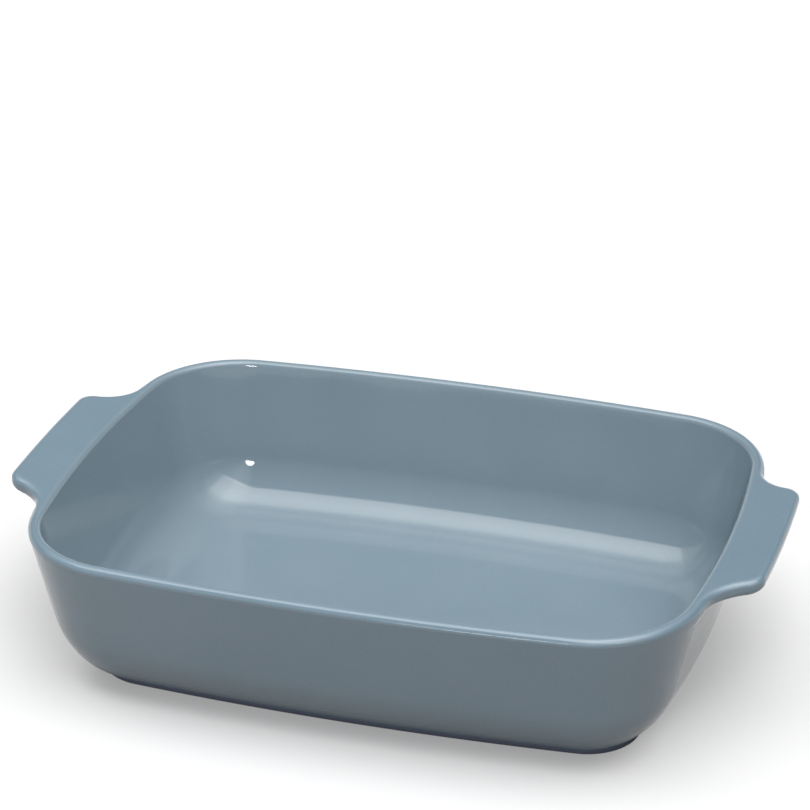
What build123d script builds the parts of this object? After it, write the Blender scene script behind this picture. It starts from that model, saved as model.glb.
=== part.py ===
from build123d import *
from math import acos, atan2, cos, degrees, hypot, radians, sin, sqrt, tan
import os

# Glazed stoneware lasagna dish with two lug handles, standing on a bare foot ring.
# Lengths are millimetres and angles are degrees. The origin is on the table under
# the middle of the dish, +X points along its length and +Z points up.

# Body, measured over the glaze
body_length = 340
body_width = 256
body_height = 83
corner_radius = 55
side_bow = 4.4
end_bow = 4
wall_thickness = 6.5
wall_slope = 13.5
outer_round = 45
outer_round_lift = 0.5
inner_round = 32
floor_thickness = 6.5
glaze_thickness = 0.45

# Foot ring
foot_inset = 38
foot_width = 7
foot_height = 3
foot_edge_radius = 0.8

# Handles, measured over the glaze
handle_reach = 20.5
handle_thickness = 8
handle_rise = 8
handle_edge_radius = 3.5
handle_corner_radius = 10.5
handle_corner_spacing = 83.5
handle_bow = 0.9
handle_root_radius = 23.5
handle_root_step = 0.15
cut_overrun = 5
edge_match = 0.005


def bow_radius(half_chord, bow, corner):
    """Radius of a bowed side that is tangent to the corner arcs at its two ends."""
    drop = corner + bow
    return (half_chord**2 + drop**2 - corner**2) / (2 * bow)


# Plan of the rim: each quarter has half an end arc, a corner arc and half a side arc,
# given as centre, radius, start angle and turn
half_length = body_length / 2
half_width = body_width / 2
corner_x = half_length - corner_radius - end_bow
corner_y = half_width - corner_radius - side_bow
end_radius = bow_radius(corner_y, end_bow, corner_radius)
side_radius = bow_radius(corner_x, side_bow, corner_radius)
end_x = half_length - end_radius
side_y = half_width - side_radius
end_turn = degrees(atan2(corner_y, corner_x - end_x))
side_turn = degrees(atan2(corner_x, corner_y - side_y))
end_arc = ((end_x, 0), end_radius, 0, end_turn)
corner_arc = ((corner_x, corner_y), corner_radius, end_turn, 90 - side_turn - end_turn)
side_arc = ((0, side_y), side_radius, 90 - side_turn, side_turn)
rim_arcs = (end_arc, corner_arc, side_arc)

# Section of the wall. A place is (inset from the rim's plan outline, height), and
# angles in it run from inwards through upwards.
slope = radians(wall_slope)
rise = radians(handle_rise)
quarter = radians(90)
half_turn = radians(180)
rim_radius = wall_thickness / 2
rim_height = body_height - rim_radius
floor_height = foot_height + floor_thickness


def step(place, distance, angle):
    return (place[0] + distance * cos(angle), place[1] + distance * sin(angle))


def round_place(radius, lowest, gain):
    """Centre of a round that is tangent to a level and to a wall, gain inside the rim's centre."""
    height = lowest + radius
    drop = (rim_height - height) * sin(slope)
    return (rim_radius + (drop + gain) / cos(slope), height)


rim_place = (rim_radius, rim_height)
outer_place = round_place(outer_round, outer_round_lift, outer_round - rim_radius)
inner_place = round_place(inner_round, floor_height, inner_round + rim_radius)
foot_angle = half_turn + acos((outer_place[0] - foot_inset) / outer_round)
foot_start = step(outer_place, outer_round - glaze_thickness, foot_angle)[0]
foot_end = foot_start + foot_width

# The seam is the line of the rim where the handles' tops leave it, and where the
# glaze inside and the glaze outside meet
seam_place = step(rim_place, rim_radius, quarter - rise)


def section_arc(place, radius, first, last):
    return [step(place, radius, angle) for angle in (first, (first + last) / 2, last)]


def rim_arc(depth, last):
    """Rim from the seam to a wall, at a depth under the glazed surface."""
    radius = rim_radius - depth
    first = acos((seam_place[0] - rim_place[0]) / radius)
    return section_arc(rim_place, radius, first, last)


def outer_curve(depth):
    low = section_arc(outer_place, outer_round - depth, half_turn + slope, foot_angle)
    return rim_arc(depth, half_turn + slope), low


def inner_curve(depth):
    low = section_arc(inner_place, inner_round + depth, half_turn + slope, half_turn + quarter)
    return rim_arc(depth, slope), low


def draw_curve(radius, curve):
    """Rim, straight wall and round, drawn from the axis of an arc of the plan."""
    rim, low = ([(radius - inset, height) for inset, height in arc] for arc in curve)
    ThreePointArc(*rim)
    Line(rim[-1], low[0])
    ThreePointArc(*low)


def draw_lines(radius, *places):
    Polyline(*[(radius - inset, height) for inset, height in places])


def body_section(radius):
    outer = outer_curve(glaze_thickness)
    inner = inner_curve(glaze_thickness)
    draw_curve(radius, outer)
    draw_curve(radius, inner)
    foot_edge = outer[1][-1]
    floor_edge = inner[1][-1]
    foot_top = (foot_start, foot_height)
    draw_lines(radius, foot_edge, foot_top, (floor_edge[0], foot_height), floor_edge)


def coat_section(radius, curve):
    surface = curve(0)
    clay = curve(glaze_thickness)
    draw_curve(radius, surface)
    draw_curve(radius, clay)
    draw_lines(radius, surface[0][0], clay[0][0])
    draw_lines(radius, surface[1][-1], clay[1][-1])


def outer_coat_section(radius):
    coat_section(radius, outer_curve)


def inner_coat_section(radius):
    coat_section(radius, inner_curve)


def foot_section(radius):
    corners = ((foot_start, 0), (foot_end, 0), (foot_end, foot_height), (foot_start, foot_height))
    draw_lines(radius, *corners, corners[0])


def turn_section(draw, arcs):
    """Carry a section round some arcs of the plan, then mirror it to the other quarters."""
    for centre, radius, start, turn in arcs:
        heading = Vector(1, 0, 0).rotate(Axis.Z, start)
        upright = Plane(origin=(*centre, 0), x_dir=heading, z_dir=heading.cross(Vector(0, 0, 1)))
        with BuildSketch(upright) as section:
            with BuildLine():
                draw(radius)
            make_face()
        revolve(section.sketch, axis=Axis((*centre, 0), (0, 0, 1)), revolution_arc=turn)
    mirror(about=Plane.XZ)
    mirror(about=Plane.YZ)


def draw_plan(inset):
    """The rim's plan outline, moved inwards."""
    for centre, radius, start, turn in rim_arcs:
        CenterArc(centre, radius - inset, start, turn)
    mirror(about=Plane.XZ)
    mirror(about=Plane.YZ)


# Plan of a handle: an outer edge, a corner and a hollow root on each side of +X
handle_end = half_length + handle_reach
handle_corner = (handle_end - handle_bow - handle_corner_radius, handle_corner_spacing / 2)
handle_edge = bow_radius(handle_corner[1], handle_bow, handle_corner_radius)
handle_edge_x = handle_end - handle_edge


def heading_to(start, end):
    return degrees(atan2(end[1] - start[1], end[0] - start[0]))


def find_root():
    """Centre of the root arc, which touches the handle's corner and stands a step off the rim,
    and the centre and radius of the rim's arc beside it."""
    for centre, radius, start, turn in (end_arc, corner_arc):
        reach = radius + handle_root_step + handle_root_radius
        other_reach = handle_corner_radius + handle_root_radius
        across = handle_corner[0] - centre[0]
        along = handle_corner[1] - centre[1]
        gap = hypot(across, along)
        forward = (reach**2 - other_reach**2 + gap**2) / (2 * gap)
        aside = sqrt(reach**2 - forward**2)
        root = (
            centre[0] + (across * forward - along * aside) / gap,
            centre[1] + (along * forward + across * aside) / gap,
        )
        if heading_to(centre, root) < start + turn:
            break
    return root, centre, radius


root_place, rim_centre, rim_reach = find_root()


def draw_handle_plan(depth):
    edge_turn = heading_to((handle_edge_x, 0), handle_corner)
    corner_end = heading_to(handle_corner, root_place)
    root_start = heading_to(root_place, handle_corner)
    root_end = heading_to(root_place, rim_centre)
    rim_heading = radians(heading_to(rim_centre, root_place))
    rim_end = step(rim_centre, rim_reach + handle_root_step - depth, rim_heading)
    rim_inside = step(rim_centre, rim_reach - corner_radius, rim_heading)
    CenterArc((handle_edge_x, 0), handle_edge - depth, 0, edge_turn)
    CenterArc(handle_corner, handle_corner_radius - depth, edge_turn, corner_end - edge_turn)
    CenterArc(root_place, handle_root_radius + depth, root_start, root_end - root_start)
    Polyline(rim_end, rim_inside, (corner_x, 0))
    mirror(about=Plane.XZ)


def is_outer(edge, depth):
    """Whether an edge runs along the handle's outer edge, corners or roots."""
    middle = edge @ 0.5
    place = (middle.X, abs(middle.Y))
    if abs(edge.tangent_at(0.5).Z) > cos(slope):
        return False
    arcs = (
        ((handle_edge_x, 0), handle_edge - depth),
        (handle_corner, handle_corner_radius - depth),
        (root_place, handle_root_radius + depth),
    )
    misses = [abs(hypot(place[0] - c[0], place[1] - c[1]) - radius) for c, radius in arcs]
    return min(misses) < edge_match


def handle_form(depth, headroom):
    """Handle at a depth under its glazed surface, let into the rim as far as the seam."""
    outermost = -(handle_reach + cut_overrun)
    lift = (seam_place[0] - outermost) * tan(rise)
    top = seam_place[1] - depth / cos(rise) + headroom
    bottom = seam_place[1] - (handle_thickness - depth) / cos(rise)

    def section(radius):
        inner = (seam_place[0], bottom), (seam_place[0], top)
        outer = (outermost, top + lift), (outermost, bottom + lift)
        draw_lines(radius, *inner, *outer, inner[0])

    with BuildPart() as form:
        turn_section(section, (end_arc, corner_arc))
        with BuildSketch():
            with BuildLine():
                draw_handle_plan(depth)
            make_face()
        extrude(amount=2 * body_height, mode=Mode.INTERSECT)
        outline = [edge for edge in form.edges() if is_outer(edge, depth)]
        fillet(outline, handle_edge_radius - depth)
    return form.part


clay_handle = handle_form(glaze_thickness, 0)
glazed_handle = handle_form(0, 0)
clay_handle_socket = handle_form(glaze_thickness, cut_overrun)
glazed_handle_socket = handle_form(0, cut_overrun)

# Clay pieces
with BuildPart() as basin:
    turn_section(body_section, rim_arcs)
    with BuildSketch(Plane.XY.offset(foot_height)):
        with BuildLine():
            draw_plan(inner_place[0])
        make_face()
    extrude(amount=floor_thickness - glaze_thickness)
    for socket in (clay_handle_socket, clay_handle_socket.mirror(Plane.YZ)):
        add(socket, mode=Mode.SUBTRACT)

with BuildPart() as foot_ring:
    turn_section(foot_section, rim_arcs)
    fillet(foot_ring.edges().group_by(Axis.Z)[0], foot_edge_radius)

with BuildPart() as right_handle:
    add(clay_handle)

with BuildPart() as left_handle:
    add(clay_handle.mirror(Plane.YZ))


def wall_under_handle_section(radius):
    """The clay wall beside the lower half of a handle's root, where no glaze reaches."""
    wall_top = step(rim_place, rim_radius - glaze_thickness, half_turn + slope)
    high = seam_place[1] - handle_thickness / 2
    low = seam_place[1] - handle_thickness - cut_overrun
    deep = seam_place[0] + cut_overrun
    outer = [(wall_top[0] + (wall_top[1] - height) * tan(slope), height) for height in (high, low)]
    draw_lines(radius, outer[0], (deep, high), (deep, low), outer[1], outer[0])


# Glaze coats
with BuildPart() as inner_glaze:
    turn_section(inner_coat_section, rim_arcs)
    with BuildSketch(Plane.XY.offset(floor_height)):
        with BuildLine():
            draw_plan(inner_place[0])
        make_face()
    extrude(amount=-glaze_thickness)

with BuildPart() as outer_glaze:
    turn_section(outer_coat_section, rim_arcs)
    for socket in (glazed_handle_socket, glazed_handle_socket.mirror(Plane.YZ)):
        add(socket, mode=Mode.SUBTRACT)

with BuildPart() as base_glaze:
    with BuildSketch(Plane.XY.offset(foot_height)):
        with BuildLine():
            draw_plan(foot_end)
        make_face()
    extrude(amount=-glaze_thickness)

with BuildPart() as wall_under_handle:
    turn_section(wall_under_handle_section, (end_arc, corner_arc))

with BuildPart() as right_handle_glaze:
    add(glazed_handle)
    add(clay_handle, mode=Mode.SUBTRACT)
    add(wall_under_handle.part, mode=Mode.SUBTRACT)

with BuildPart() as left_handle_glaze:
    add(right_handle_glaze.part.mirror(Plane.YZ))

pieces = {
    "basin": basin,
    "foot_ring": foot_ring,
    "left_handle": left_handle,
    "right_handle": right_handle,
    "inner_glaze": inner_glaze,
    "outer_glaze": outer_glaze,
    "base_glaze": base_glaze,
    "left_handle_glaze": left_handle_glaze,
    "right_handle_glaze": right_handle_glaze,
}
os.makedirs("parts", exist_ok=True)
for name, piece in pieces.items():
    piece.part.label = name
    export_step(piece.part, f"parts/{name}.step")
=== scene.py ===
from math import acos, atan2, cos, degrees, hypot, pi, radians, sin, sqrt, tan

import bpy
import numpy as np
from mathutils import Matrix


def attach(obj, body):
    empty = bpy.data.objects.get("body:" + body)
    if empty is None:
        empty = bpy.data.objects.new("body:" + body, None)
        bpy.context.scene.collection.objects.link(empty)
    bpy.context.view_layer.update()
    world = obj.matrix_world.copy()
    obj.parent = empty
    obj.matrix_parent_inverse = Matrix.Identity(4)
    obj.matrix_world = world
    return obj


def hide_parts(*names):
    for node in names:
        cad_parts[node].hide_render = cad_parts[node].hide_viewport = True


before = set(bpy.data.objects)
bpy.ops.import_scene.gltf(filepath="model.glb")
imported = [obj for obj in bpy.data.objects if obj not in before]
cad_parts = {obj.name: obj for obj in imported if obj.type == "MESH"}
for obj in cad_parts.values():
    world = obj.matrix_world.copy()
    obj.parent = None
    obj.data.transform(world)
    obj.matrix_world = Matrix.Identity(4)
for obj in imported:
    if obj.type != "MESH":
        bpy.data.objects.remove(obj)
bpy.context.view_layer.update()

# A glazed stoneware dish with two handles, standing on a bare foot. The glaze inside and outside
# and the foot are smooth meshes that stand for their solids. The clay and the glaze of the base
# stay as solids

# Sizes of the dish in millimetres, and its slopes, as in its solids
HALF_LENGTH, HALF_WIDTH, BODY_HEIGHT = 170, 128, 83
CORNER_RADIUS, SIDE_BOW, END_BOW = 55, 4.4, 4
RIM_RADIUS, SLOPE = 3.25, radians(13.5)
OUTER_ROUND, OUTER_LIFT = 45, 0.5
INNER_ROUND, FLOOR_HEIGHT = 32, 9.5
GLAZE_THICKNESS = 0.45
FOOT_INSET, FOOT_WIDTH, FOOT_HEIGHT, FOOT_EDGE = 38, 7, 3, 0.8
HANDLE_REACH, HANDLE_THICKNESS, HANDLE_EDGE, RISE = 20.5, 8, 3.5, radians(8)
HANDLE_CORNER, HANDLE_SPACING, HANDLE_BOW = 10.5, 83.5, 0.9
ROOT_RADIUS, ROOT_STEP = 23.5, 0.15

# Finer shapes, in millimetres. The foot's outer side has its own plan, in from the ends and sides
FOOT_END, FOOT_SIDE, FOOT_CORNER = 30, 37.6, 27
# The height of a row of points on the foot's sides, and how far its outside goes up into the glaze
FOOT_MIDDLE, FOOT_TUCK = 2, 0.1
# A handle's hollow root runs out along the rim by this share of the way past it
ROOT_FADE = 0.12
# The soft run from a handle's underside into the wall: its size, what is left of it at the
# handle's top, and the depth under the top at which it is whole
WELD, WELD_LEAST, WELD_DEPTH = 3, 0.01, 5
# How deep the skins of the coats lie under the surfaces of the solids
SKIN_DEPTH = 0.05
MILLIMETRE = 0.001


def steps(first, *stretches):
    """Values from the first one on. A stretch gives its last value and its number of steps."""
    values = [np.array([first])]
    for last, count in stretches:
        values.append(np.linspace(values[-1][-1], last, count + 1)[1:])
    return np.concatenate(values)


def bow_radius(half, bow, corner):
    """Radius of a bowed side that is tangent to the corner arcs at its two ends."""
    drop = corner + bow
    return (half**2 + drop**2 - corner**2) / (2 * bow)


def quarter_arcs(half_length, half_width, corner):
    """A quarter of a bowed outline, from +X to +Y: the centre, radius and first and last
    heading of its end arc, its corner arc and its side arc."""
    x, y = half_length - corner - END_BOW, half_width - corner - SIDE_BOW
    end_radius, side_radius = bow_radius(y, END_BOW, corner), bow_radius(x, SIDE_BOW, corner)
    end_x, side_y = half_length - end_radius, half_width - side_radius
    first, last = atan2(y, x - end_x), atan2(y - side_y, x)
    return (
        ((end_x, 0), end_radius, 0, first),
        ((x, y), corner, first, last),
        ((0, side_y), side_radius, last, pi / 2),
    )


# Plan of the rim
END_ARC, CORNER_ARC, SIDE_ARC = quarter_arcs(HALF_LENGTH, HALF_WIDTH, CORNER_RADIUS)
(END_X, _), END_RADIUS, _, END_TURN = END_ARC
(CORNER_X, CORNER_Y), _, _, SIDE_START = CORNER_ARC
(_, SIDE_Y), SIDE_RADIUS, _, _ = SIDE_ARC

# Section of the wall. A place in it is an inset from the rim's outline and a height, and angles
# run from inwards through upwards
RIM_HEIGHT = BODY_HEIGHT - RIM_RADIUS
OUTER_HEIGHT, INNER_HEIGHT = OUTER_LIFT + OUTER_ROUND, FLOOR_HEIGHT + INNER_ROUND


def round_inset(height, gain):
    """Inset of the centre of a round that is tangent to a side of the wall."""
    return RIM_RADIUS + ((RIM_HEIGHT - height) * sin(SLOPE) + gain) / cos(SLOPE)


OUTER_INSET = round_inset(OUTER_HEIGHT, OUTER_ROUND - RIM_RADIUS)
INNER_INSET = round_inset(INNER_HEIGHT, INNER_ROUND + RIM_RADIUS)
WALL_ANGLE = pi + SLOPE
FOOT_ANGLE = pi + acos((OUTER_INSET - FOOT_INSET) / OUTER_ROUND)
FOOT_START = OUTER_INSET + (OUTER_ROUND - GLAZE_THICKNESS) * cos(FOOT_ANGLE)
FOOT_STOP = FOOT_START + FOOT_WIDTH

# The seam, where the glaze inside and the glaze outside meet on the rim
SEAM_ANGLE = pi / 2 - RISE
SEAM_INSET = RIM_RADIUS + RIM_RADIUS * sin(RISE)
SEAM_HEIGHT = RIM_HEIGHT + RIM_RADIUS * cos(RISE)

# Plan of a handle: the centre of its corner, and its bowed edge
HANDLE_END = HALF_LENGTH + HANDLE_REACH
HANDLE_X, HANDLE_Y = HANDLE_END - HANDLE_BOW - HANDLE_CORNER, HANDLE_SPACING / 2
EDGE_RADIUS = bow_radius(HANDLE_Y, HANDLE_BOW, HANDLE_CORNER)
EDGE_X = HANDLE_END - EDGE_RADIUS
EDGE_TURN = atan2(HANDLE_Y, HANDLE_X - EDGE_X)


def find_root():
    """Centre of a handle's hollow root arc, and the rim's heading beside it. The arc touches the
    handle's corner and stands a step off the rim."""
    for centre, radius, _, last in (END_ARC, CORNER_ARC):
        reach, other = radius + ROOT_STEP + ROOT_RADIUS, HANDLE_CORNER + ROOT_RADIUS
        across, along = HANDLE_X - centre[0], HANDLE_Y - centre[1]
        gap = hypot(across, along)
        forward = (reach**2 - other**2 + gap**2) / (2 * gap)
        aside = sqrt(reach**2 - forward**2)
        x = centre[0] + (across * forward - along * aside) / gap
        y = centre[1] + (along * forward + across * aside) / gap
        heading = atan2(y - centre[1], x - centre[0])
        if heading < last:
            break
    return x, y, heading


ROOT_X, ROOT_Y, ROOT_HEADING = find_root()


def rim_inset(x, y):
    """How far a point lies in from the rim's outline."""
    x, y = np.abs(x), np.abs(y)
    by_end = np.arctan2(y, x - END_X) < END_TURN
    by_side = (np.arctan2(y - SIDE_Y, x) > SIDE_START) & ~by_end
    inset = CORNER_RADIUS - np.hypot(x - CORNER_X, y - CORNER_Y)
    inset = np.where(by_end, END_RADIUS - np.hypot(x - END_X, y), inset)
    return np.where(by_side, SIDE_RADIUS - np.hypot(x, y - SIDE_Y), inset)


def handle_plan(x, y, inset):
    """How far a point lies outside a handle's outline, whose root runs out along the rim."""
    x, y = np.abs(x), np.abs(y)
    edge = np.hypot(x - EDGE_X, y) - EDGE_RADIUS
    corner = np.hypot(x - HANDLE_X, y - HANDLE_Y) - HANDLE_CORNER
    root = ROOT_RADIUS - np.hypot(x - ROOT_X, y - ROOT_Y)
    beyond = (y - ROOT_Y) * cos(ROOT_HEADING) - (x - ROOT_X) * sin(ROOT_HEADING)
    faded = (beyond * ROOT_FADE - inset - ROOT_STEP) / hypot(1, ROOT_FADE)
    across = (ROOT_X - HANDLE_X) * (y - HANDLE_Y) - (ROOT_Y - HANDLE_Y) * (x - HANDLE_X)
    by_edge = (np.arctan2(y, x - EDGE_X) < EDGE_TURN) & (across <= 0)
    out = np.where(by_edge, edge, np.where(across > 0, root, corner))
    return np.where(beyond > 0, faded, out)


def body_field(inset, height):
    """Distance outside the body's section: its rim, its wall or its lower round."""
    across, up = inset - RIM_RADIUS, height - RIM_HEIGHT
    rim = np.hypot(across, up) - RIM_RADIUS
    wall = -across * cos(SLOPE) - up * sin(SLOPE) - RIM_RADIUS
    low = np.hypot(inset - OUTER_INSET, height - OUTER_HEIGHT) - OUTER_ROUND
    on_rim = across * sin(SLOPE) - up * cos(SLOPE) < 0
    on_low = (inset - OUTER_INSET) * sin(SLOPE) - (height - OUTER_HEIGHT) * cos(SLOPE) > 0
    return np.where(on_rim, rim, np.where(on_low, low, wall))


def handle_field(x, y, inset, depth):
    """Distance outside the handles, with their rounded edges. Depth is under their tops."""
    level = np.maximum(-depth, depth - HANDLE_THICKNESS) + HANDLE_EDGE
    side = handle_plan(x, y, inset) + HANDLE_EDGE
    within = np.minimum(np.maximum(level, side), 0)
    return within + np.hypot(np.maximum(level, 0), np.maximum(side, 0)) - HANDLE_EDGE


def field(points):
    """Distance outside the body and its handles, which run into each other softly underneath."""
    x, y, height = points[..., 0], points[..., 1], points[..., 2]
    inset = rim_inset(x, y)
    depth = (SEAM_INSET - inset) * sin(RISE) - (height - SEAM_HEIGHT) * cos(RISE)
    body, handle = body_field(inset, height), handle_field(x, y, inset, depth)
    share = np.clip(depth / WELD_DEPTH, 0, 1)
    weld = WELD_LEAST + WELD * share * share * (3 - 2 * share)
    near = np.maximum(weld - np.abs(body - handle), 0) / weld
    return np.minimum(body, handle) - near * near * weld / 4


# Shares of the arcs of a quarter at which the columns of a mesh stand. On the end arc they are
# far apart at a handle's middle and close together at its corner and root
HANDLE_MIDDLE, MIDDLE_COLUMNS, ROOT_COLUMNS = 36, 14, 79
CORNER_COLUMNS, SIDE_COLUMNS = 64, 29
END_LENGTH = END_RADIUS * END_TURN
ARC_SHARES = (
    steps(0, (HANDLE_MIDDLE, MIDDLE_COLUMNS), (END_LENGTH, ROOT_COLUMNS)) / END_LENGTH,
    steps(0, (1, CORNER_COLUMNS)),
    steps(0, (1, SIDE_COLUMNS)),
)


def make_columns(arcs):
    """Points of an outline with their headings, once round from +X."""
    parts = []
    for (centre, radius, first, last), shares in zip(arcs, ARC_SHARES):
        a = first + (last - first) * shares
        parts.append(np.c_[centre[0] + radius * np.cos(a), centre[1] + radius * np.sin(a), a])
    quarter = np.vstack([parts[0][:-1], parts[1][:-1], parts[2]])
    half = np.vstack([quarter, (quarter[::-1] * (-1, 1, -1) + (0, 0, pi))[1:]])
    return np.vstack([half, (half[::-1] * (1, -1, -1))[1:-1]])


COLUMNS = make_columns((END_ARC, CORNER_ARC, SIDE_ARC))
FOOT_COLUMNS = make_columns(
    quarter_arcs(HALF_LENGTH - FOOT_END, HALF_WIDTH - FOOT_SIDE, FOOT_CORNER)
)


def carry(places, columns=COLUMNS):
    """Places of a section carried round an outline, as points."""
    x, y, heading = columns.T[..., None]
    inset, height = places.T
    points = np.empty((len(columns), len(places), 3))
    points[..., 0] = x - np.cos(heading) * inset
    points[..., 1] = y - np.sin(heading) * inset
    points[..., 2] = height
    return points


def carry_ways(ways, columns=COLUMNS):
    """Directions in a section carried round an outline."""
    return carry(ways, columns * (0, 0, 1))


def arc(centre, radius, first, last, rows):
    """Places on an arc of a section, and the directions in which it faces there."""
    a = np.linspace(first, last, rows)
    ways = np.c_[np.cos(a), np.sin(a)]
    return np.array(centre) + radius * ways, ways


# Rows of the inside's mesh on the rim and on the lower round, and the wall's steps between them
INNER_RIM_ROWS, INNER_WALL_STEPS, INNER_LOW_ROWS = 12, 8, 28


def inner_surface():
    """The inside, from the seam over the rim and down to the edge of the floor."""
    rim, rim_ways = arc((RIM_RADIUS, RIM_HEIGHT), RIM_RADIUS, SEAM_ANGLE, SLOPE, INNER_RIM_ROWS)
    low, low_ways = arc(
        (INNER_INSET, INNER_HEIGHT), INNER_ROUND, WALL_ANGLE, 1.5 * pi, INNER_LOW_ROWS
    )
    shares = steps(0, (1, INNER_WALL_STEPS))[1:-1, None]
    wall = rim[-1] * (1 - shares) + low[0] * shares
    ways = np.vstack([rim_ways, np.tile(rim_ways[-1], (len(wall), 1)), -low_ways])
    return carry(np.vstack([rim, wall, low])), carry_ways(ways)


# Rays find the outside. The first ones fan out from the rim's centre, in stretches that end at
# an angle in degrees after a number of steps. The next ones leave the wall's middle square to
# it, at these distances down it in millimetres and then evenly. The last ones leave the centre
# of the lower round
FAN = ((140, 10), (160, 7), (188, 18), (200, 5), (244, 9))
FIRST_RUNS = (0.5, 1.1, 1.9, 3, 4.5, 6.5, 9)
EVEN_RUN, EVEN_RAYS = 12, 6
LOW_RAYS = 25
# Lengths at which a ray is tried, in millimetres, and how often the last stretch is halved
RAY_START, RAY_LENGTH = 0.5, 60
RAY_STEPS = ((30, 59), (RAY_LENGTH, 10))
HALVINGS = 26
# Distance to either side at which the field is compared for a normal, in millimetres
PROBE = 0.02
# The rim's outer edge turns over more crisply than a round of its size: how steeply the round
# faces up, in degrees, and how steeply the glaze does there
EDGE_RISES = np.radians(((0, 16, 21, 34, 50, 90), (0, 7, 32, 39, 50, 90)))
# Least cosine to divide by, where the outside faces straight up
LEAST_COSINE = 0.01


def outer_rays():
    """Rays from inside the wall, from the seam over the rim and the handles down to the foot."""
    fan = np.radians(steps(degrees(SEAM_ANGLE), *FAN))
    rim_place = np.array([RIM_RADIUS, RIM_HEIGHT])
    low_place = np.array([OUTER_INSET, OUTER_HEIGHT])
    down = np.array([sin(SLOPE), -cos(SLOPE)])
    start = RIM_RADIUS * tan(fan[-1] - WALL_ANGLE)
    stop = (low_place - rim_place) @ down
    runs = start + np.array(FIRST_RUNS)
    runs = np.r_[runs, np.linspace(start + EVEN_RUN, stop, EVEN_RAYS)]
    low = steps(WALL_ANGLE, (FOOT_ANGLE, LOW_RAYS))[1:]
    starts = np.vstack([
        np.tile(rim_place, (len(fan), 1)),
        rim_place + runs[:, None] * down,
        np.tile(low_place, (len(low), 1)),
    ])
    angles = np.r_[fan, np.full(len(runs), WALL_ANGLE), low]
    return carry(starts), carry_ways(np.c_[np.cos(angles), np.sin(angles)])


def find_skin(starts, ways):
    """The points at which rays first come out of the dish."""
    near, far = np.zeros(starts.shape[:2]), np.full(starts.shape[:2], float(RAY_LENGTH))
    found = np.zeros(starts.shape[:2], bool)
    for length in steps(RAY_START, *RAY_STEPS):
        new = (field(starts + ways * length) > 0) & ~found
        far[new] = length
        found |= new
        near[~found] = length
    for _ in range(HALVINGS):
        middle = (near + far) / 2
        inside = field(starts + ways * middle[..., None]) < 0
        near, far = np.where(inside, middle, near), np.where(inside, far, middle)
    return starts + ways * ((near + far) / 2)[..., None]


def unit(vectors):
    return vectors / np.linalg.norm(vectors, axis=-1, keepdims=True)


def outer_surface():
    """The outside, from the seam down to the foot, with its crisper edge in the normals."""
    points = find_skin(*outer_rays())
    probes = np.eye(3) * PROBE
    normals = unit(np.stack([field(points + p) - field(points - p) for p in probes], -1))
    rise = np.arcsin(np.clip(normals[..., 2], 0, 1))
    turned = np.interp(rise, *EDGE_RISES)
    spread = np.cos(turned) / np.maximum(np.cos(rise), LEAST_COSINE)
    normals[..., :2] *= np.where(rise > 0, spread, 1)[..., None]
    normals[..., 2] = np.where(rise > 0, np.sin(turned), normals[..., 2])
    return points, unit(normals)


# Rows of the foot's mesh on each of its rounded edges
FOOT_EDGE_ROWS = 7


def foot_surface():
    """The foot, from the glaze's edge outside round to the base inside. Its first row follows
    the lower round, a little way up into the glaze."""
    outer, outer_ways = arc((FOOT_EDGE, FOOT_EDGE), FOOT_EDGE, pi, 1.5 * pi, FOOT_EDGE_ROWS)
    inner, inner_ways = arc(
        (FOOT_STOP - FOOT_EDGE, FOOT_EDGE), FOOT_EDGE, 1.5 * pi, 2 * pi, FOOT_EDGE_ROWS
    )
    outer = np.vstack([(0, 0), (0, FOOT_MIDDLE), outer])
    inner = np.vstack([inner, (FOOT_STOP, FOOT_MIDDLE), (FOOT_STOP, FOOT_HEIGHT - SKIN_DEPTH)])
    points = np.hstack([carry(outer, FOOT_COLUMNS), carry(inner)])
    inset = rim_inset(points[:, 0, 0], points[:, 0, 1])
    drop = np.sqrt(OUTER_ROUND**2 - (OUTER_INSET - inset) ** 2)
    points[:, 0, 2] = OUTER_HEIGHT - drop + FOOT_TUCK
    outer_ways = np.vstack([(-1, 0), (-1, 0), outer_ways])
    inner_ways = np.vstack([inner_ways, (1, 0), (1, 0)])
    return points, np.hstack([carry_ways(outer_ways, FOOT_COLUMNS), carry_ways(inner_ways)])


def add_object(name, data):
    thing = bpy.data.objects.new(name, data)
    bpy.context.scene.collection.objects.link(thing)
    return thing


def add_mesh(name, points, faces, normals):
    """A smooth mesh in metres, from points in millimetres."""
    mesh = bpy.data.meshes.new(name)
    mesh.from_pydata((points * MILLIMETRE).tolist(), [], faces)
    mesh.update()
    mesh.polygons.foreach_set("use_smooth", [True] * len(mesh.polygons))
    mesh.normals_split_custom_set_from_vertices(normals.tolist())
    return add_object(name, mesh)


def grid_faces(count, rows, first=0, flip=False):
    """Quads of a grid that closes round the rim."""
    here = np.arange(count)[:, None] * rows + np.arange(rows - 1)
    there = np.roll(here, -1, axis=0)
    quads = np.stack([here, here + 1, there + 1, there], -1).reshape(-1, 4) + first
    return (quads[:, ::-1] if flip else quads).tolist()


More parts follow.
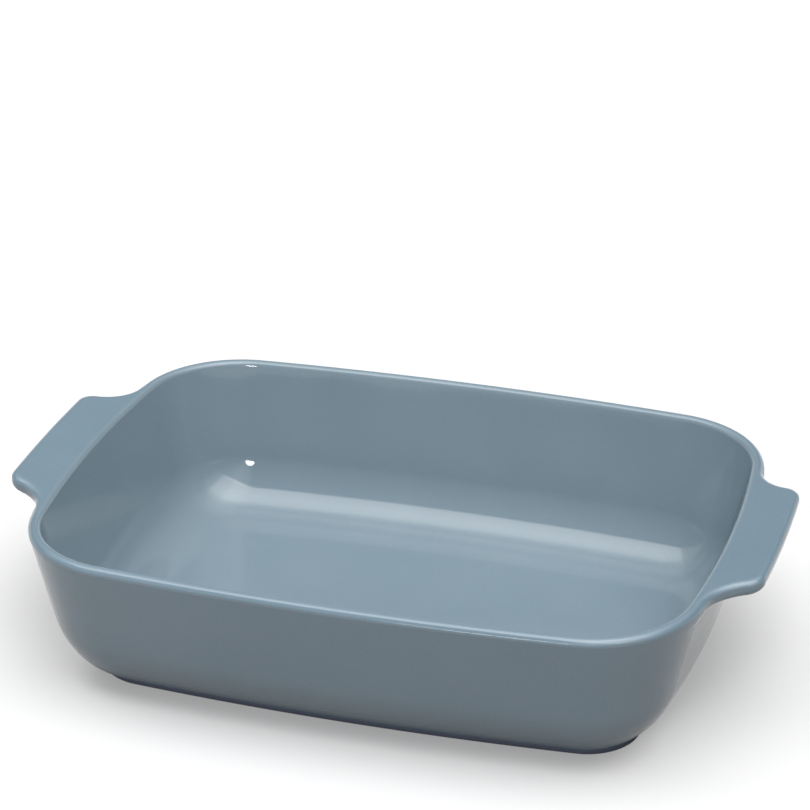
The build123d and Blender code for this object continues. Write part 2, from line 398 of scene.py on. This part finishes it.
def coat(name, points, normals, cap=False):
    """A thin coat of glaze: its skin, its back and the edges between them. A cap closes the skin
    and the back at their last row instead."""
    count, rows = points.shape[:2]
    skin, back = points - normals * SKIN_DEPTH, points - normals * GLAZE_THICKNESS
    half = count * rows
    faces = grid_faces(count, rows, 0, cap) + grid_faces(count, rows, half, not cap)
    edge_rows = (0,) if cap else (0, rows - 1)
    for row in edge_rows:
        for column in range(count):
            a, b = column * rows + row, (column + 1) % count * rows + row
            quad = [a, b, b + half, a + half]
            faces.append(quad if (row == 0) != cap else quad[::-1])
    if cap:
        ring = [column * rows + rows - 1 for column in range(count)]
        faces.append(ring)
        faces.append([half + corner for corner in reversed(ring)])
    all_points = np.vstack([skin.reshape(-1, 3), back.reshape(-1, 3)])
    all_normals = np.vstack([normals.reshape(-1, 3), -normals.reshape(-1, 3)])
    return add_mesh(name, all_points, faces, all_normals)


# The two coats meet at the seam, and there the outside takes the inside's points and normals
outer_points, outer_normals = outer_surface()
inner_points, inner_normals = inner_surface()
outer_points[:, 0], outer_normals[:, 0] = inner_points[:, 0], inner_normals[:, 0]
outside = coat("glaze_outside", outer_points, outer_normals)
inside = coat("glaze_inside", inner_points, inner_normals, cap=True)

foot_points, foot_normals = foot_surface()
foot_faces = grid_faces(len(COLUMNS), foot_points.shape[1])
foot = add_mesh("foot", foot_points.reshape(-1, 3), foot_faces, foot_normals.reshape(-1, 3))

for piece, slot, nodes in (
    (outside, "outer_glaze", ("outer_glaze", "left_handle_glaze", "right_handle_glaze")),
    (inside, "inner_glaze", ("inner_glaze",)),
    (foot, "bare_foot", ("foot_ring",)),
):
    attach(piece, "root")
    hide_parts(*nodes)


# Shader nodes
def rgba(value):
    """An RGB colour, or a number for a grey, with its alpha."""
    return (*value, 1) if isinstance(value, tuple) else (value, value, value, 1)


def feed(tree, value, socket):
    """Link a node's result to a socket, or set the socket to a plain value."""
    if isinstance(value, bpy.types.NodeSocket):
        tree.links.new(value, socket)
    else:
        socket.default_value = rgba(value) if socket.type == "RGBA" else value


def noise(tree, place, scale, detail, roughness=0.5):
    node = tree.nodes.new("ShaderNodeTexNoise")
    node.inputs["Scale"].default_value = scale
    node.inputs["Detail"].default_value = detail
    node.inputs["Roughness"].default_value = roughness
    tree.links.new(place, node.inputs["Vector"])
    return node.outputs["Fac"]


def ramp(tree, value, *stops):
    """A colour ramp with its stops as positions and colours."""
    node = tree.nodes.new("ShaderNodeValToRGB")
    bar = node.color_ramp
    while len(bar.elements) < len(stops):
        bar.elements.new(0.5)
    for element, (position, colour) in zip(bar.elements, stops):
        element.position = position
        element.color = rgba(colour)
    tree.links.new(value, node.inputs["Fac"])
    return node.outputs["Color"]


# Sockets of a mix node that serve colours
MIX_FACTOR, MIX_A, MIX_B, MIX_RESULT = 0, 6, 7, 2


def blend(tree, factor, a, b, kind="MIX"):
    node = tree.nodes.new("ShaderNodeMix")
    node.data_type = "RGBA"
    node.blend_type = kind
    for value, number in ((factor, MIX_FACTOR), (a, MIX_A), (b, MIX_B)):
        feed(tree, value, node.inputs[number])
    return node.outputs[MIX_RESULT]


def maths(tree, kind, *values):
    node = tree.nodes.new("ShaderNodeMath")
    node.operation = kind
    for value, socket in zip(values, node.inputs):
        feed(tree, value, socket)
    return node.outputs[0]


def map_range(tree, value, first, last):
    """0 at the first value, 1 at the last, with a smooth run between them."""
    node = tree.nodes.new("ShaderNodeMapRange")
    node.interpolation_type = "SMOOTHSTEP"
    node.inputs["From Min"].default_value = first
    node.inputs["From Max"].default_value = last
    tree.links.new(value, node.inputs["Value"])
    return node.outputs["Result"]


def bump(tree, height, distance, under=None):
    """Normals of a relief, in metres, over another relief's if one is given."""
    node = tree.nodes.new("ShaderNodeBump")
    node.inputs["Strength"].default_value = 1
    node.inputs["Distance"].default_value = distance
    tree.links.new(height, node.inputs["Height"])
    if under is not None:
        tree.links.new(under, node.inputs["Normal"])
    return node.outputs["Normal"]


def separate(tree, vector):
    node = tree.nodes.new("ShaderNodeSeparateXYZ")
    tree.links.new(vector, node.inputs[0])
    return node.outputs


def new_material(name):
    material = bpy.data.materials.new(name)
    material.use_nodes = True
    tree = material.node_tree
    shader = tree.nodes["Principled BSDF"]
    place = tree.nodes.new("ShaderNodeTexCoord").outputs["Object"]
    return material, tree, shader, place


# Colours of one glaze, painted lighter inside as lit and darker outside as shaded, of the glaze
# above the foot and the bare foot, painted darker as shade, and of the clay under the glaze
LIT_INNER_COLOUR, SHADED_OUTER_COLOUR = (0.178, 0.241, 0.283), (0.155, 0.222, 0.271)
LOW_SHADE_COLOUR, SHADED_FOOT_COLOUR = (0.118, 0.168, 0.212), (0.094, 0.103, 0.142)
CLAY_COLOUR = (0.60, 0.54, 0.46)
# How far a colour strays in red, green and blue, as shares of it
GLAZE_DARKEST, GLAZE_PALEST = (0.955, 0.965, 0.970), (1.045, 1.035, 1.030)
CLAY_DARKEST, CLAY_PALEST = (0.86,) * 3, (1.12,) * 3
GLAZE_IOR, DRY_IOR = 1.56, 1.06
GLOSSIEST_GLAZE, DULLEST_GLAZE, DRY_GLAZE = 0.045, 0.07, 0.55
CLAY_ROUGHNESS, FOOT_ROUGHNESS, ROUGHNESS_SPREAD = 0.85, 0.7, 0.06
# Reliefs in metres: the glaze's slow waves and fine peel, and the grain of the clay and the foot
WAVES, PEEL, CLAY_GRAIN, FOOT_GRAIN = 0.00012, 0.000006, 0.0001, 0.00006
# Heights in metres over which the bare foot's painted shade turns to a lighter painted shade on
# the glaze, and that to the full glaze, and how far these edges stray
FOOT_TO_LOW_SHADE, LOW_SHADE_TO_FULL = (0.0012, 0.0034), (0.003, 0.028)
RAGGED = 0.0012


def shades(colour, shares):
    return tuple(value * share for value, share in zip(colour, shares))


def above_foot(tree, place, full):
    """Colours of the outside by height, painted darker towards the foot as shade: the bare foot,
    then darker glaze, then the full glaze. With them, how much of the full glaze there is."""
    strays = noise(tree, place, scale=90, detail=3)
    strays = maths(tree, "MULTIPLY_ADD", strays, RAGGED, -RAGGED / 2)
    height = maths(tree, "ADD", separate(tree, place)["Z"], strays)
    # Painted shade: the foot and the glaze just above it are darker towards the bottom
    edge = blend(tree, map_range(tree, height, *FOOT_TO_LOW_SHADE), SHADED_FOOT_COLOUR, LOW_SHADE_COLOUR)
    unshaded_and_wet = map_range(tree, height, *LOW_SHADE_TO_FULL)
    return blend(tree, unshaded_and_wet, edge, full), unshaded_and_wet


def glaze(name, base, down_to_foot=False):
    """Glossy glaze. Where it reaches down to the foot, it is painted darker towards the bottom as
    shade and turns dry and dull.
    """
    material, tree, shader, place = new_material(name)
    clouds = noise(tree, place, scale=14, detail=3, roughness=0.55)
    dark, pale = shades(base, GLAZE_DARKEST), shades(base, GLAZE_PALEST)
    colour = ramp(tree, clouds, (0.3, dark), (0.7, pale))
    haze = noise(tree, place, scale=35, detail=4, roughness=0.6)
    rough = ramp(tree, haze, (0.3, GLOSSIEST_GLAZE), (0.7, DULLEST_GLAZE))
    shader.inputs["IOR"].default_value = GLAZE_IOR
    if down_to_foot:
        colour, unshaded_and_wet = above_foot(tree, place, colour)
        rough = blend(tree, unshaded_and_wet, DRY_GLAZE, rough)
        ior = maths(tree, "MULTIPLY_ADD", unshaded_and_wet, GLAZE_IOR - DRY_IOR, DRY_IOR)
        tree.links.new(ior, shader.inputs["IOR"])
    specks = noise(tree, place, scale=650, detail=2, roughness=0.6)
    specks = ramp(tree, specks, (0.25, 0.965), (0.5, 1.0), (0.8, 1.02))
    waves = noise(tree, place, scale=30, detail=1, roughness=0.4)
    peel = noise(tree, place, scale=320, detail=1, roughness=0.4)
    relief = bump(tree, peel, PEEL, under=bump(tree, waves, WAVES))
    tree.links.new(blend(tree, 1.0, colour, specks, "MULTIPLY"), shader.inputs["Base Color"])
    tree.links.new(rough, shader.inputs["Roughness"])
    tree.links.new(relief, shader.inputs["Normal"])
    return material


def finish_clay(tree, shader, place, colour, roughness, grain):
    """Speckled, matt and pitted clay."""
    dots = noise(tree, place, scale=1400, detail=1)
    dots = ramp(tree, dots, (0.0, 0.75), (0.42, 1.0), (0.7, 1.06))
    least, most = roughness - ROUGHNESS_SPREAD, roughness + ROUGHNESS_SPREAD
    matt = ramp(tree, noise(tree, place, scale=200, detail=2), (0.3, least), (0.7, most))
    pits = noise(tree, place, scale=1600, detail=3, roughness=0.6)
    tree.links.new(blend(tree, 1.0, colour, dots, "MULTIPLY"), shader.inputs["Base Color"])
    tree.links.new(matt, shader.inputs["Roughness"])
    tree.links.new(bump(tree, pits, grain), shader.inputs["Normal"])


def fired_clay():
    """The pale clay under the glaze."""
    material, tree, shader, place = new_material("fired_clay")
    clouds = noise(tree, place, scale=60, detail=4, roughness=0.6)
    dark, pale = shades(CLAY_COLOUR, CLAY_DARKEST), shades(CLAY_COLOUR, CLAY_PALEST)
    colour = ramp(tree, clouds, (0.3, dark), (0.7, pale))
    finish_clay(tree, shader, place, colour, CLAY_ROUGHNESS, CLAY_GRAIN)
    return material


def foot_clay():
    """The foot, wiped bare where it stands on the table and painted dark as the shade under the
    dish.
    """
    material, tree, shader, place = new_material("shaded_bare_foot_clay")
    shader.inputs["IOR"].default_value = DRY_IOR
    colour, _ = above_foot(tree, place, SHADED_OUTER_COLOUR)
    finish_clay(tree, shader, place, colour, FOOT_ROUGHNESS, FOOT_GRAIN)
    return material


def dress(piece, material):
    piece.data.materials.clear()
    piece.data.materials.append(material)


dress(inside, glaze("blue_grey_glaze", LIT_INNER_COLOUR))
dress(outside, glaze("blue_grey_glaze_outside", SHADED_OUTER_COLOUR, down_to_foot=True))
dress(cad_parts["base_glaze"], glaze("blue_grey_glaze_base", SHADED_OUTER_COLOUR))
dress(foot, foot_clay())
bare_clay = fired_clay()
for name in ("basin", "left_handle", "right_handle"):
    dress(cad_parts[name], bare_clay)


# Floor, light and camera. Lengths are metres, but the camera's sensor and lens are millimetres
FLOOR_HALF, FLOOR_DROP, FLOOR_ROUGHNESS = 20, 0.0002, 0.9
SENSOR_WIDTH, NEAREST, FARTHEST = 36, 0.05, 100


def seen(tree):
    """1 for camera, glossy and transmission rays."""
    path = tree.nodes.new("ShaderNodeLightPath").outputs
    glossy = maths(tree, "MAXIMUM", path["Is Camera Ray"], path["Is Glossy Ray"])
    return maths(tree, "MAXIMUM", glossy, path["Is Transmission Ray"])


def add_floor(pale, dull, lift):
    """A white floor, which throws less light on the dish than its look would."""
    half = FLOOR_HALF
    corners = [(-half, -half, 0), (half, -half, 0), (half, half, 0), (-half, half, 0)]
    mesh = bpy.data.meshes.new("studio_floor")
    mesh.from_pydata(corners, [], [(0, 1, 2, 3)])
    floor = add_object("studio_floor", mesh)
    floor.location.z = -FLOOR_DROP
    material, tree, shader, _ = new_material("studio_floor")
    look = seen(tree)
    tree.links.new(blend(tree, look, dull, pale), shader.inputs["Base Color"])
    tree.links.new(maths(tree, "MULTIPLY", look, lift), shader.inputs["Emission Strength"])
    shader.inputs["Emission Color"].default_value = rgba(1)
    shader.inputs["Roughness"].default_value = FLOOR_ROUGHNESS
    shader.inputs["Specular IOR Level"].default_value = 0
    dress(floor, material)


# The studio's glows: a core overhead, a tail behind it and a front one before it. Each is the
# product of its brightness from left to right and from front to back, by the angle in degrees
# from straight up
CORE_ACROSS = (
    (-80, 0), (-66, 0.9), (-39.5, 1.4), (-36.5, 3.8), (-22, 4.4), (-14, 4.7), (2, 5.8),
    (10, 6.3), (16, 6.1), (28, 4.6), (41, 3.8), (46, 1.6), (64, 0),
)
CORE_ALONG = (
    (-60, 0.84), (-24, 0.86), (-8, 1), (3, 0.86), (9, 0.5), (12, 0.32), (18, 0.16), (40, 0),
)
CORE_EDGE = ((-32.5, 0), (-29, 1))
TAIL_ACROSS = (
    (-62, 0), (-38, 1), (-22, 0.6), (-14, 0.35), (2, 0.9), (18, 1.5), (30, 1.5), (46, 0.4),
    (60, 0),
)
TAIL_ALONG = ((-2, 0), (12, 0.9), (18, 1), (34, 0.58), (50, 0.28), (58, 0))
FRONT_ACROSS = ((-10, 0), (0, 0.7), (15, 0.9), (20, 1.6), (26, 1), (62, 0))
FRONT_ALONG = ((-72, 0), (-62, 0.8), (-40, 1), (-30, 1), (-26, 0))
# How far the core's front edge and the front glow slant, as a share of the angle across
SLANT = 0.25
# A white backdrop stands behind the floor: sines of the heights over which it fades out
BACKDROP_FADE = (0.27, 0.13)


def add_world(level, glow):
    """A plain studio with soft glows overhead."""
    world = bpy.data.worlds.new("studio")
    bpy.context.scene.world = world
    world.use_nodes = True
    tree = world.node_tree
    sky = tree.nodes["Background"]
    sky.inputs["Color"].default_value = rgba(1)
    x, y, z = separate(tree, tree.nodes.new("ShaderNodeTexCoord").outputs["Generated"])
    across, along = maths(tree, "ARCTAN2", x, z), maths(tree, "ARCTAN2", y, z)
    slanted = maths(tree, "MULTIPLY_ADD", across, SLANT, along)

    def profile(angle, stops):
        turned = maths(tree, "MULTIPLY_ADD", angle, 1 / pi, 0.5)
        return ramp(tree, turned, *((degree / 180 + 0.5, value) for degree, value in stops))

    core = maths(tree, "MULTIPLY", profile(across, CORE_ACROSS), profile(along, CORE_ALONG))
    core = maths(tree, "MULTIPLY", core, profile(slanted, CORE_EDGE))
    tail = maths(tree, "MULTIPLY", profile(across, TAIL_ACROSS), profile(along, TAIL_ALONG))
    front = maths(tree, "MULTIPLY", profile(across, FRONT_ACROSS), profile(slanted, FRONT_ALONG))
    light = maths(tree, "ADD", maths(tree, "ADD", core, tail), front)
    light = maths(tree, "MULTIPLY_ADD", light, glow, level)
    backdrop = maths(tree, "MULTIPLY", seen(tree), map_range(tree, z, *BACKDROP_FADE))
    tree.links.new(maths(tree, "MAXIMUM", light, backdrop), sky.inputs["Strength"])


def add_lamp(place, target, size, radiance):
    """A round lamp of an even radiance, facing a point."""
    light = bpy.data.lights.new("lamp", "AREA")
    light.shape = "DISK"
    light.size = size
    light.energy = radiance * pi * pi * size**2 / 4
    lamp = add_object("lamp", light)
    lamp.location = place
    x, y, z = (there - here for here, there in zip(place, target))
    lamp.rotation_euler = (atan2(hypot(x, y), -z), 0, atan2(-x, y))


def add_camera(place, down, turn, lens):
    """A camera that looks along +Y, turned to the left and tilted down by these degrees."""
    camera = add_object("camera", bpy.data.cameras.new("camera"))
    camera.data.sensor_width = SENSOR_WIDTH
    camera.data.lens = lens
    camera.data.clip_start, camera.data.clip_end = NEAREST, FARTHEST
    camera.location = place
    camera.rotation_euler = (radians(90 - down), 0, radians(turn))
    bpy.context.scene.camera = camera


add_floor(pale=0.53, dull=0.05, lift=0.24)
add_world(level=0.10, glow=0.88)
add_lamp(place=(-0.09, -1.43, 0.45), target=(-0.1, 0.1, 0.03), size=0.39, radiance=20)
add_camera(place=(0.410622, -1.357414, 0.808178), down=25.62634, turn=16.78920, lens=143.656)
bpy.context.scene.view_settings.view_transform = "Standard"
